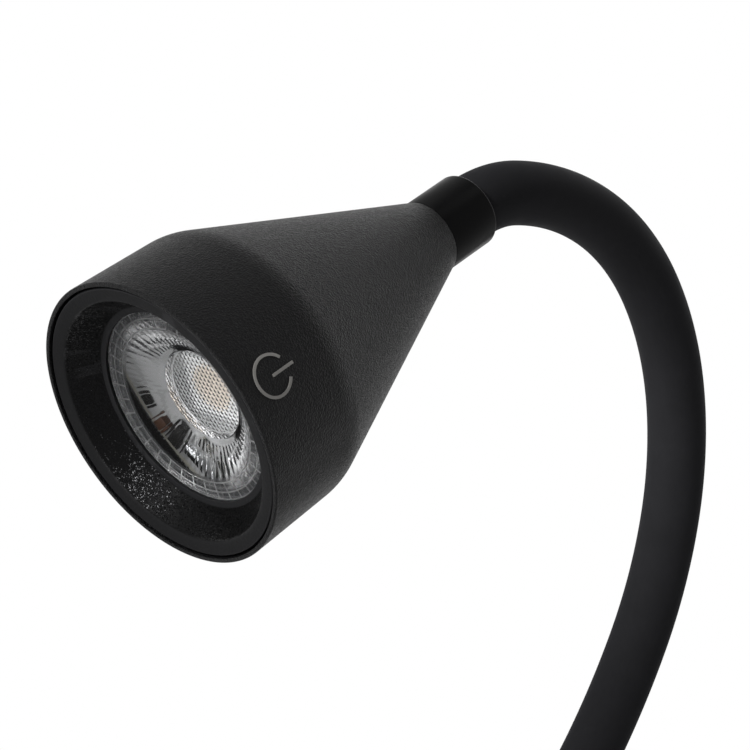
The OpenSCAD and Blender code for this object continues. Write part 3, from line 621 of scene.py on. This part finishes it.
def pick(piece, kind, test):
    """Selects, in edit mode, the verts, edges or faces whose middle passes a test.

    The test is given the middle's radius and height in millimetres and its angle in degrees.
    """
    bpy.context.tool_settings.mesh_select_mode = (kind == "verts", kind == "edges", kind == "faces")
    mesh = bmesh.from_edit_mesh(piece.data)
    for part in (*mesh.verts, *mesh.edges, *mesh.faces):
        part.select = False
    found = 0
    for part in getattr(mesh, kind):
        corners = [part] if kind == "verts" else part.verts
        x, y, z = (sum(v.co[i] for v in corners) / len(corners) / MM for i in range(3))
        if test(math.hypot(x, y), z, math.degrees(math.atan2(y, x)) % 360):
            part.select_set(True)
            found += 1
    if not found:
        raise RuntimeError("nothing to select on " + piece.name)
    mesh.select_flush_mode()
    bmesh.update_edit_mesh(piece.data)


def modified(piece, kind, **settings):
    """Adds a modifier and applies it."""
    bpy.context.view_layer.objects.active = piece
    modifier = piece.modifiers.new(kind.title(), kind)
    for name, value in settings.items():
        setattr(modifier, name, value)
    bpy.ops.object.modifier_apply(modifier=modifier.name)
    return piece


def settle(piece, matrix=None, smooth=30):
    """Puts a piece in its place, with the place in its mesh, and smooths it up to this angle."""
    clear_selection()
    piece.select_set(True)
    bpy.context.view_layer.objects.active = piece
    if matrix is not None:
        piece.matrix_world = matrix @ piece.matrix_world
    bpy.ops.object.transform_apply(location=True, rotation=True, scale=True)
    if smooth:
        bpy.ops.object.shade_smooth_by_angle(angle=math.radians(smooth))
    return piece


def dress(piece, finish_name, body=None, nodes=()):
    """Gives a piece its finish and its body, and hides the construction nodes that it stands for."""
    piece.data.materials.clear()
    piece.data.materials.append(finish(finish_name))
    if body:
        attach(piece, body)
    if nodes:
        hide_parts(*nodes)
    return piece


def refined(node, finish_name, body, bevel):
    """A finely finished copy of a construction node: joined, its edges rounded by bevel in metres, smooth."""
    clear_selection()
    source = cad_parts[node]
    piece = source.copy()
    piece.data = source.data.copy()
    piece.name = node + "_finished"
    piece.parent = None
    for key in [k for k in piece.keys() if k.startswith("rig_")]:
        del piece[key]
    bpy.context.scene.collection.objects.link(piece)
    piece.select_set(True)
    bpy.context.view_layer.objects.active = piece
    bpy.ops.object.mode_set(mode="EDIT")
    bpy.ops.mesh.select_all(action="SELECT")
    bpy.ops.mesh.remove_doubles(threshold=MERGE)
    bpy.ops.mesh.tris_convert_to_quads(face_threshold=math.radians(1), shape_threshold=math.radians(180))
    bpy.ops.object.mode_set(mode="OBJECT")
    modified(piece, "BEVEL", width=bevel, segments=2, limit_method="ANGLE", angle_limit=math.radians(35))
    settle(piece, smooth=32)
    return dress(piece, finish_name, body, [node])


def arc_points(centre, radius, a0, a1, steps):
    """Points on an arc, angles in degrees."""
    return [(centre[0] + radius * math.cos(math.radians(a0 + (a1 - a0) * i / steps)),
             centre[1] + radius * math.sin(math.radians(a0 + (a1 - a0) * i / steps)))
            for i in range(steps + 1)]


def rounded(corners, steps):
    """A closed outline of corners (radius, height, rounding), each with an arc, or sharp where that is 0."""
    out = []
    for i, (r, z, radius) in enumerate(corners):
        if not radius:
            out.append((r, z))
            continue
        b = Vector((r, z))
        u = (Vector(corners[i - 1][:2]) - b).normalized()
        v = (Vector(corners[(i + 1) % len(corners)][:2]) - b).normalized()
        half = math.acos(max(-1, min(1, u.dot(v)))) / 2
        middle = b + (u + v).normalized() * radius / math.sin(half)
        p = b + u * radius / math.tan(half) - middle
        q = b + v * radius / math.tan(half) - middle
        a0 = math.degrees(math.atan2(p.y, p.x))
        turn = (math.degrees(math.atan2(q.y, q.x)) - a0 + 180) % 360 - 180
        out += arc_points(middle, radius, a0, a0 + turn, steps)
    return out


# ---- settings ----

class LampSizes(bpy.types.PropertyGroup):
    """How finely the pieces are modelled"""

    turned_steps: IntProperty(
        name="Turning steps", description="Faces round each turned piece", default=192, min=48, max=384)
    edge_radius: FloatProperty(
        name="Edge radius", description="Radius of the base cover's edges",
        default=0.25 * MM, min=0.0, max=0.8 * MM, unit="LENGTH", precision=5)
    sleeve_rings: IntProperty(
        name="Sleeve rings", description="Rings along each half stretch of the sleeve",
        default=14, min=6, max=40)


class LampFinish(bpy.types.PropertyGroup):
    """Colours and roughness of the finishes"""

    shell_colour: FloatVectorProperty(
        name="Shell colour", description="Colour of the textured plastic", subtype="COLOR",
        default=(0.0026, 0.0026, 0.0029), min=0.0, max=1.0)
    shell_roughness: FloatProperty(
        name="Shell roughness", description="Roughness of the textured plastic",
        default=0.4, min=0.1, max=1.0, subtype="FACTOR")
    collar_colour: FloatVectorProperty(
        name="Collar colour", description="Colour of the smooth collars", subtype="COLOR",
        default=(0.002, 0.002, 0.0022), min=0.0, max=1.0)
    sleeve_colour: FloatVectorProperty(
        name="Sleeve colour", description="Colour of the arm's sleeve", subtype="COLOR",
        default=(0.0225, 0.0225, 0.0245), min=0.0, max=1.0)
    mark_colour: FloatVectorProperty(
        name="Mark colour", description="Colour of the printed power mark", subtype="COLOR",
        default=(0.24, 0.232, 0.22), min=0.0, max=1.0)


class LampStudio(bpy.types.PropertyGroup):
    """The camera and the sky"""

    lens_length: FloatProperty(
        name="Focal length", description="Focal length of the camera, in millimetres",
        default=134.4, min=20, max=300, subtype="DISTANCE_CAMERA")
    azimuth: FloatProperty(
        name="Azimuth", description="Direction of the camera round the lamp, in degrees", default=-47.222)
    elevation: FloatProperty(
        name="Elevation", description="Height of the camera above the horizon, in degrees", default=19.1235)
    sky: FloatProperty(
        name="Sky", description="Strength of the soft light from all round", default=0.07, min=0.0, max=2.0)


# ---- operators ----

def direction(azimuth, elevation):
    """The way toward an azimuth and an elevation, in degrees: 0 is -Y and 90 is +X."""
    a, e = math.radians(azimuth), math.radians(elevation)
    return Vector((math.sin(a) * math.cos(e), -math.cos(a) * math.cos(e), math.sin(e)))


class LAMP_OT_stage(bpy.types.Operator):
    """Makes the floor, the soft lights, the sky and the camera"""

    bl_idname = "lamp.stage"
    bl_label = "Stage"

    def execute(self, context):
        studio = context.scene.lamp_studio
        clear_selection()
        bpy.ops.mesh.primitive_plane_add(size=FLOOR_SIZE, location=(0, 0, FLOOR_Z))
        floor = context.object
        floor.name = "floor"
        floor.data.materials.append(self.floor_paint())
        self.sky(context.scene, studio.sky)
        self.lights()
        self.camera(context, studio)
        context.scene.view_settings.view_transform = "Standard"
        return {"FINISHED"}

    def floor_paint(self):
        """Pale paper that keeps the lamp's shadow near it and is seen as white further off.

        In gloss it is white all over, but for a soft dark patch, a painted dark reflection, that takes the
        glare off the lens.
        """
        paint = Paint("Pale floor", roughness=0.9, colour=(0.86, 0.86, 0.86), Specular_IOR_Level=0.0)
        x, y, z = paint.axes(paint.place())
        fibre = paint.noise(0.0012, 3.0, 0.6)
        paint.colour(paint.mix(fibre, (0.85, 0.85, 0.85), (0.87, 0.87, 0.87)))
        paint.bump(fibre, 0.00002)
        far = paint.ramp((x * x + y * y) ** 0.5, SHADOW_NEAR, SHADOW_FAR)
        gloss = paint.is_ray("Glossy")
        # painted reflection: a soft dark disc in the floor's gloss colour, which no card or object casts
        from_dark_reflection = ((x - DARK_REFLECTION_SPOT[0]) ** 2 + (y - DARK_REFLECTION_SPOT[1]) ** 2) ** 0.5
        painted_dark_reflection = paint.ramp(from_dark_reflection, DARK_REFLECTION_R, DARK_REFLECTION_R * 0.6) * gloss
        shade = paint.mix(painted_dark_reflection, (1.0, 1.0, 1.0), (0.15, 0.15, 0.15))
        white = paint.node("ShaderNodeEmission", {}, {"Color": shade})
        paint.cover(paint.maths("MAXIMUM", far * paint.is_seen(), gloss), white)
        return paint.material

    def sky(self, scene, strength):
        """An even sky that the camera, gloss and glass see as white, dimmed overhead but for the camera."""
        world = bpy.data.worlds.new("Studio sky")
        scene.world = world
        world.use_nodes = True
        nodes = Nodes(world.node_tree)
        height = nodes.axes(nodes.node("ShaderNodeTexCoord").outputs["Generated"])[2]
        overhead = nodes.node("ShaderNodeMapRange", {}, {
            "Value": height, "From Min": 0.6, "From Max": 0.85, "To Min": 1.0, "To Max": 0.35})
        shown = nodes.maths("MAXIMUM", overhead.outputs["Result"], nodes.is_ray("Camera"))
        light, white = (
            nodes.node("ShaderNodeBackground", {}, {"Color": (1, 1, 1, 1), "Strength": level})
            for level in (strength, shown))
        both = nodes.node("ShaderNodeMixShader", {}, {
            0: nodes.is_seen(), 1: light.outputs[0], 2: white.outputs[0]})
        nodes.node("ShaderNodeOutputWorld", {}, {"Surface": both.outputs[0]})

    def lights(self):
        """Soft rectangular lamps round the head, with their directions in degrees, sizes in metres, watts."""
        for name, azimuth, elevation, size, power in (
            ("left_key_light", -100, 40, (0.25, 0.25), 13.0),
            ("left_soft_light", -92, -3, (0.5, 0.4), 9.0),
            ("right_soft_light", 100, 5, (1.4, 0.8), 3.4),
            ("top_soft_light", 60, 60, (0.5, 0.5), 1.1),
            ("back_soft_light", 165, 70, (0.8, 0.8), 3.2),
        ):
            light = bpy.data.lights.new(name, "AREA")
            light.shape = "RECTANGLE"
            light.size, light.size_y = size
            light.energy = power
            lamp = bpy.data.objects.new(name, light)
            bpy.context.scene.collection.objects.link(lamp)
            back = direction(azimuth, elevation)
            lamp.location = LIGHT_TARGET + back * LIGHT_DISTANCE
            lamp.rotation_euler = back.to_track_quat("Z", "Y").to_euler()
            lamp.visible_camera = False
            lamp.visible_transmission = False

    def camera(self, context, studio):
        """A camera at its own place from the middle of the rim, which looks back along the set direction."""
        back = direction(studio.azimuth, studio.elevation)
        rim = HEAD @ Vector((0, 0, HEAD_LEN * MM))
        camera = bpy.data.objects.new("camera", bpy.data.cameras.new("camera"))
        context.scene.collection.objects.link(camera)
        camera.data.lens = studio.lens_length
        camera.data.sensor_width = 36
        camera.data.dof.use_dof = False
        camera.data.clip_start, camera.data.clip_end = 0.01, 50
        camera.location = rim + CAMERA_FROM_RIM
        camera.rotation_mode = "QUATERNION"
        camera.rotation_quaternion = (-back).to_track_quat("-Z", "Y")
        context.scene.camera = camera


class LAMP_OT_finishes(bpy.types.Operator):
    """Gives every construction node its own procedural finish"""

    bl_idname = "lamp.finishes"
    bl_label = "Finishes"

    def execute(self, context):
        for name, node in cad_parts.items():
            if name.startswith("arm_core"):
                chosen = "spring_steel"
            elif name.startswith("arm_sleeve"):
                chosen = "sleeve_silicone"
            else:
                chosen = CAD_FINISHES[name]
            node.data.materials.clear()
            node.data.materials.append(finish(chosen))
        return {"FINISHED"}


class LAMP_OT_shell(bpy.types.Operator):
    """Turns the head's textured shell: nose, cone, soft shoulder, drum and thin rim"""

    bl_idname = "lamp.shell"
    bl_label = "Head shell"

    def execute(self, context):
        sizes = context.scene.lamp_sizes
        corners = (
            (FITTING_BORE, COLLAR_LEN, 0), (COLLAR_R, COLLAR_LEN, 0.2), (CONE_END_R, CONE_END, 14),
            (RIM_R, HEAD_LEN, 0.3), (RIM_BORE, HEAD_LEN, 0.2), (RIM_BORE, LEDGE, 0.1),
            (DRUM_BORE, LEDGE, 0.2), (DRUM_BORE, DRUM_FLOOR, 1), (NUT_SEAT_R, NUT_SEAT, 1),
            (FITTING_BORE, NUT_SEAT, 0.2),
        )
        piece = turned("head_shell_textured", rounded(corners, 10), sizes.turned_steps)
        settle(piece, HEAD, 25)
        dress(piece, "head_plastic", "head", ["head_shell"])
        return {"FINISHED"}


class LAMP_OT_trim(bpy.types.Operator):
    """Turns the trim ring with its flat front, deep baffle and lens seat"""

    bl_idname = "lamp.trim"
    bl_label = "Trim ring"

    def execute(self, context):
        sizes = context.scene.lamp_sizes
        bore, lip, ring = LENS_R + 0.05, LENS_R - 0.15, RIM_BORE - 0.4
        skirt, skirt_bore, skirt_end = DRUM_BORE - 0.1, 23.75, 78.5
        corners = (
            (bore, LENS_BACK, 0.2), (20.4, LENS_BACK, 0.2), (20.4, 75.96, 0), (skirt_bore, 80.9, 0),
            (skirt_bore, skirt_end, 0.2), (skirt, skirt_end, 0.2), (skirt, LEDGE, 0), (ring, LEDGE, 0.1),
            (ring, TRIM_FACE, 0.3), (23.8, TRIM_FACE - 0.4, 1.2), (BAFFLE_FOOT_R, BAFFLE_FOOT, 0.1),
            (lip, BAFFLE_FOOT, 0.12), (lip, LENS_FACE, 0.05), (bore, LENS_FACE, 0),
        )
        piece = turned("trim_ring_grained", rounded(corners, 6), sizes.turned_steps)
        settle(piece, HEAD, 25)
        dress(piece, "baffle_plastic", "head", ["trim_ring"])
        return {"FINISHED"}


class LAMP_OT_collars(bpy.types.Operator):
    """Turns the two smooth collars with their rounded mouths"""

    bl_idname = "lamp.collars"
    bl_label = "Collars"

    def execute(self, context):
        sizes = context.scene.lamp_sizes
        corners = (
            (SOCKET_R, 0, 0.15), (COLLAR_R, 0, 0.7), (COLLAR_R, COLLAR_LEN, 0.12),
            (FITTING_BORE, COLLAR_LEN, 0), (FITTING_BORE, SOCKET_LEN, 0.2), (SOCKET_R, SOCKET_LEN, 0.2),
        )
        for name, node, matrix, body in (
            ("head_collar_smooth", "head_collar", HEAD, "head"),
            ("foot_collar_smooth", "foot_collar", FOOT, "base"),
        ):
            piece = turned(name, rounded(corners, 8), sizes.turned_steps)
            settle(piece, matrix, 25)
            dress(piece, "collar_plastic", body, [node])
        return {"FINISHED"}


class LAMP_OT_lens(bpy.types.Operator):
    """Models the clear optic: two rings of moulded cells, a fluted wall and a foot over the chip"""

    bl_idname = "lamp.lens"
    bl_label = "Lens"

    def execute(self, context):
        low, low_r, spread, rings = 68, 9, 8.2, 12  # the fluted wall's lower end, its widening, its rings
        shares = [i / rings for i in range(rings + 1)]
        wall = [(low_r + spread * t, low + (LENS_BACK - low) * t ** 1.5) for t in shares]
        face = [(0.0, LENS_FACE), (CELL_RINGS[0] - 0.2, LENS_FACE)] + [(r, CELL_FACE) for r in CELL_RINGS]
        edge = [(LENS_R, CELL_FACE), (LENS_R, LENS_BACK)]
        foot = [(8.8, 67.9), (8.5, 64.5), (8.3, 64.5), (8.2, 64.8), (5, 65.0), (0.0, 65.1)]
        steps = 4 * CELLS
        piece = turned("lens_clear", face + edge + wall[::-1] + foot, steps, closed=False)
        bpy.ops.object.mode_set(mode="EDIT")

        def step(angle):
            """The step of the turning that an angle is at."""
            return round(angle * steps / 360)

        def in_ring(radius, height, within):
            """Whether a place on the face is within this distance of the middle of a ring of cells."""
            middles = [(a + b) / 2 for a, b in zip(CELL_RINGS, (*CELL_RINGS[1:], LENS_R))]
            return height > CELL_FACE - 0.01 and min(abs(radius - m) for m in middles) < within

        pick(piece, "edges", lambda r, z, a: in_ring(r, z, 0.05) and step(a) % 4)
        bpy.ops.mesh.dissolve_edges(use_verts=False)
        pick(piece, "faces", lambda r, z, a: in_ring(r, z, 0.35))
        bpy.ops.mesh.inset(thickness=0.12 * MM, depth=0.09 * MM, use_individual=True)
        for ring, height in wall[1:-1]:
            pick(piece, "verts", lambda r, z, a: math.dist((r, z), (ring, height)) < 0.1 and step(a) % 2)
            bpy.ops.transform.translate(value=(0, 0, 0.006 * ring * MM))
        bpy.ops.object.mode_set(mode="OBJECT")
        settle(piece, HEAD, 10)
        piece.visible_shadow = False  # the clear plastic lets the light through to the board
        dress(piece, "clear_plastic", "head", ["lens"])
        return {"FINISHED"}


class LAMP_OT_board(bpy.types.Operator):
    """Models the small parts on the board: blocks with tinned ends and a bright can"""

    bl_idname = "lamp.board"
    bl_label = "Board parts"

    def execute(self, context):
        for i, (turn, inset, wide, long, high, kind) in enumerate(SMALL_PARTS):
            if high > TALL_PART:
                body_long, end_place = long * 0.94, long * 0.485
                end_size = (wide * 0.55, long * 0.04, 0.35)
            else:
                body_long, end_place = long * 0.62, long * 0.4
                end_size = (wide * 1.02, long * 0.2, high * 1.03)
            body = self.block("small_part_%d" % i, turn, inset, (wide, body_long, high), low=0.05)
            dress(body, kind, "head", ["board_parts"] if i == 0 else [])
            for side in (-1, 1):
                name = "small_part_%d_end_%d" % (i, side)
                end = self.block(name, turn, inset, end_size, shift=side * end_place)
                dress(end, "tinned_brass", "head")
        self.can(146, 3.6)
        return {"FINISHED"}

    def can(self, turn, inset):
        """A bright can that lies on the board, with a groove round its middle."""
        end, radius, belt, belt_r = 1.1, 1.25, 0.35, 1.22
        half = ((0, end, 0), (radius, end, 0.2), (radius + 0.05, 0.5, 0.05), (belt_r, belt, 0.03))
        corners = [(r, -z, rounding) for r, z, rounding in half] + list(half[::-1])
        piece = turned("small_can", rounded(corners, 5), 64)
        spot = Matrix.Translation(((BOARD_R - inset) * MM, 0, (BOARD_TOP + 1.32) * MM))
        lying = Matrix.Rotation(math.radians(90), 4, "X")
        settle(piece, HEAD @ Matrix.Rotation(math.radians(turn), 4, "Z") @ spot @ lying, 30)
        dress(piece, "silver_can", "head")

    def block(self, name, turn, inset, size, low=0.0, shift=0.0):
        """A box with rounded edges on the board, from height low up, shifted along its length."""
        wide, long, high = size
        clear_selection()
        bpy.ops.mesh.primitive_cube_add(size=1)
        piece = bpy.context.object
        piece.name = name
        piece.scale = (wide * MM, long * MM, (high - low) * MM)
        piece.location = ((BOARD_R - inset) * MM, shift * MM, (BOARD_TOP + (high + low) / 2) * MM)
        settle(piece, smooth=0)
        modified(piece, "BEVEL", width=min(wide, long, high) * 0.12 * MM, segments=2)
        return settle(piece, HEAD @ Matrix.Rotation(math.radians(turn), 4, "Z"), 40)


class LAMP_OT_sleeve(bpy.types.Operator):
    """Models the soft sleeve in lengths that each bend across one joint"""

    bl_idname = "lamp.sleeve"
    bl_label = "Arm sleeve"

    def execute(self, context):
        for joint in range(1, LAST + 1):
            piece = self.length("sleeve_length_%d" % joint, joint, SLEEVE_R, SLEEVE_WALL)
            nodes = ["arm_sleeve_%d" % joint] + (["arm_sleeve_0"] if joint == 1 else [])
            dress(piece, "sleeve_silicone", nodes=nodes)
        for joint in range(1, LAST + 1):
            piece = self.length("lead_length_%d" % joint, joint, LEAD_R, LEAD_WALL)
            dress(piece, "lead_jacket", nodes=["arm_lead"] if joint == 1 else [])
        return {"FINISHED"}

    def length(self, name, joint, radius, wall):
        """A walled tube over one joint that follows the arm's centre line from the stretch below it to the
        one above it.
        """
        piece = self.tube(name, joint, radius)
        modified(piece, "SOLIDIFY", thickness=wall * MM, offset=-1, use_even_offset=True, use_rim=True)
        settle(piece, smooth=40)
        below = stretch_point(joint - 1, stretch_run(joint - 1) - BEND_HALF)
        above = stretch_point(joint, BEND_HALF)
        below[0] * MM
        below[1] * MM
        above[0] * MM
        above[1] * MM
        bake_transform(piece)
        return piece

    def tube(self, name, joint, radius):
        """An open tube from the middle of one stretch to the middle of the next, or into a collar."""
        rings, collar_rings = bpy.context.scene.lamp_sizes.sleeve_rings, 3
        first, last = joint == 1, joint == LAST
        x, z, lean = (0, FOOT_MOUTH - IN_COLLAR, 0) if first else stretch_point(joint - 1, STRETCH / 2)
        clear_selection()
        bpy.ops.mesh.primitive_circle_add(vertices=96, radius=radius * MM, fill_type="NOTHING")
        piece = bpy.context.object
        piece.name = name
        piece.matrix_world = place_at(x, z, lean)
        bpy.ops.object.transform_apply(location=True, rotation=True, scale=True)
        bpy.ops.object.mode_set(mode="EDIT")
        bpy.ops.mesh.select_all(action="SELECT")
        if first:
            self.straight(IN_COLLAR, 0, collar_rings)
        self.along(joint - 1, 0 if first else STRETCH / 2, stretch_run(joint - 1), rings)
        self.along(joint, 0, STRETCH / 2, rings)
        if last:
            self.straight(IN_COLLAR, stretch_start(LAST + 1)[2], collar_rings)
        close_mesh()
        return piece

    def along(self, i, a, b, steps):
        """Carries the selected ring along stretch i, from distance a to distance b."""
        x, z, lean = stretch_start(i)
        if not TURNS[i]:
            self.straight(b - a, lean, steps)
            return
        way = math.radians(lean)
        r = stretch_run(i) / math.radians(TURNS[i])
        centre = ((x - r * math.cos(way)) * MM, 0, (z - r * math.sin(way)) * MM)
        angle = math.radians(TURNS[i] * (b - a) / stretch_run(i))
        bpy.ops.mesh.spin(steps=steps, angle=angle, center=centre, axis=(0, 1, 0))

    def straight(self, length, lean, steps):
        """Carries the selected ring this far along a straight line that leans so many degrees."""
        way = math.radians(lean)
        step = (-math.sin(way) * length * MM / steps, 0, math.cos(way) * length * MM / steps)
        for _ in range(steps):
            bpy.ops.mesh.extrude_region_move(TRANSFORM_OT_translate={"value": step})


class LAMP_OT_base(bpy.types.Operator):
    """Refines the base cover and its power inlet, with rounded edges"""

    bl_idname = "lamp.base"
    bl_label = "Base"

    def execute(self, context):
        refined("base_cover", "head_plastic", "base", context.scene.lamp_sizes.edge_radius)
        refined("power_jack", "inlet_plastic", "base", 0.1 * MM)
        return {"FINISHED"}


class LAMP_PT_panel(bpy.types.Panel):
    """Sizes, finishes and the steps that make the lamp"""

    bl_label = "Gooseneck desk lamp"
    bl_idname = "LAMP_PT_panel"
    bl_space_type = "VIEW_3D"
    bl_region_type = "UI"
    bl_category = "Lamp"

    def draw(self, context):
        for group in (context.scene.lamp_sizes, context.scene.lamp_finish, context.scene.lamp_studio):
            box = self.layout.box()
            for name in group.__annotations__:
                box.prop(group, name)
        for operator in STEPS:
            self.layout.operator(operator.bl_idname)


STEPS = (
    LAMP_OT_stage, LAMP_OT_finishes, LAMP_OT_shell, LAMP_OT_trim, LAMP_OT_collars, LAMP_OT_lens,
    LAMP_OT_board, LAMP_OT_sleeve, LAMP_OT_base,
)
GROUPS = (("lamp_sizes", LampSizes), ("lamp_finish", LampFinish), ("lamp_studio", LampStudio))


def register():
    for kind in (*(group for _, group in GROUPS), *STEPS, LAMP_PT_panel):
        bpy.utils.register_class(kind)
    for name, group in GROUPS:
        setattr(bpy.types.Scene, name, PointerProperty(type=group))


def unregister():
    for name, _ in GROUPS:
        delattr(bpy.types.Scene, name)
    for kind in (LAMP_PT_panel, *reversed(STEPS), *(group for _, group in reversed(GROUPS))):
        bpy.utils.unregister_class(kind)


def main():
    register()
    for operator in STEPS:
        group, name = operator.bl_idname.split(".")
        getattr(getattr(bpy.ops, group), name)()


if __name__ == "__main__":
    main()
